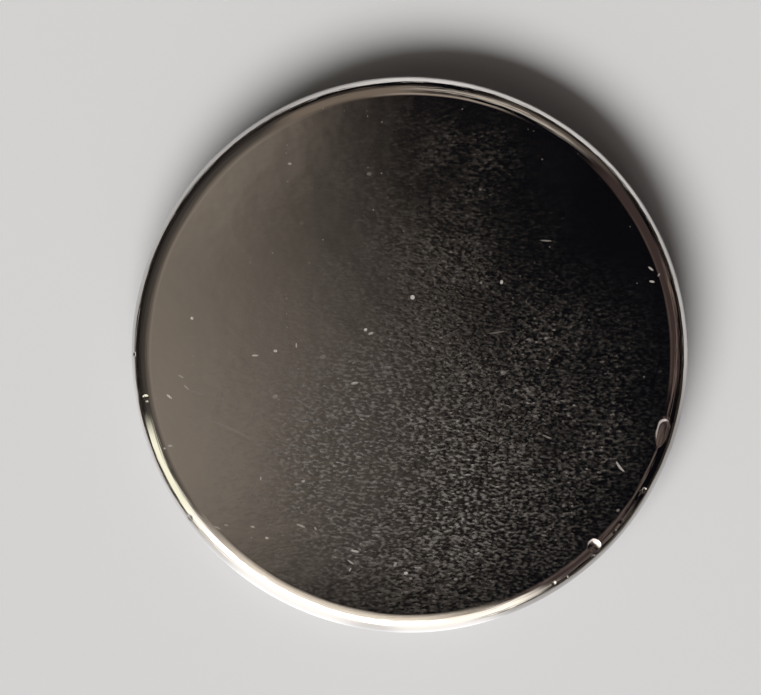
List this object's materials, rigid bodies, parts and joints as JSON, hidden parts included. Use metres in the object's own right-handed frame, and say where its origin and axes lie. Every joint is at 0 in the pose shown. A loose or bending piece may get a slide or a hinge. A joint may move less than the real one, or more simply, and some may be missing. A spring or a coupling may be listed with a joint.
{
  "type": "disc magnet",
  "caption": "Thin round nickel-plated disc magnet with smoothly rounded edges and a few small nicks in the upper rounding.",
  "frame": {"origin": "centre of the lower pole face, on the surface the magnet lies on", "axes": "+Z along the disc's axis, from the lower pole face to the upper one; +X and +Y across the disc, with the round nick half way between +X and -Y"},
  "size_m": [0.02, 0.02, 0.002],
  "materials": {
    "nickel_plating": "polished"
  },
  "bodies": {
    "root": {"disc_magnet": "nickel_plating"}
  },
  "joints": []
}
